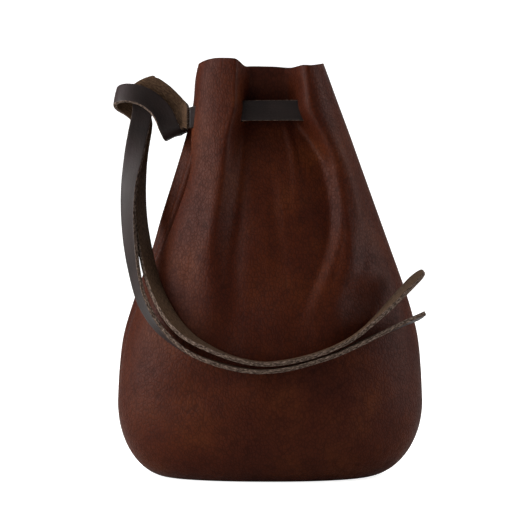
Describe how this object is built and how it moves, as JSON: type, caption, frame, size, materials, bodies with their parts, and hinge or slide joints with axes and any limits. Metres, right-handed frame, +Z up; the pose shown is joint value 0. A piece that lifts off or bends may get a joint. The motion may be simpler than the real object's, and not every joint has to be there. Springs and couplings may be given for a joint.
{
  "type": "leather drawstring belt pouch",
  "caption": "Dark leather drawstring pouch with a gathered open neck and a flat lace threaded through slits, knotted at the side, its free ends across the front.",
  "frame": {"origin": "on the surface it stands on, under the middle of the bag", "axes": "+Z up to the rim, front with the free lace ends towards -Y, knot towards -X"},
  "size_m": [0.1238, 0.0811, 0.1647],
  "materials": {
    "pouch_leather": "dark red-brown pebbled grain, soft sheen",
    "lace_leather": "near-black brown, satin grain face and fibrous olive-brown flesh face"
  },
  "bodies": {
    "root": {"front_panel": "pouch_leather", "back_panel": "pouch_leather", "neck_lace": "lace_leather", "lace_tail_grain": "lace_leather", "lace_tail_flesh": "lace_leather"}
  },
  "joints": []
}
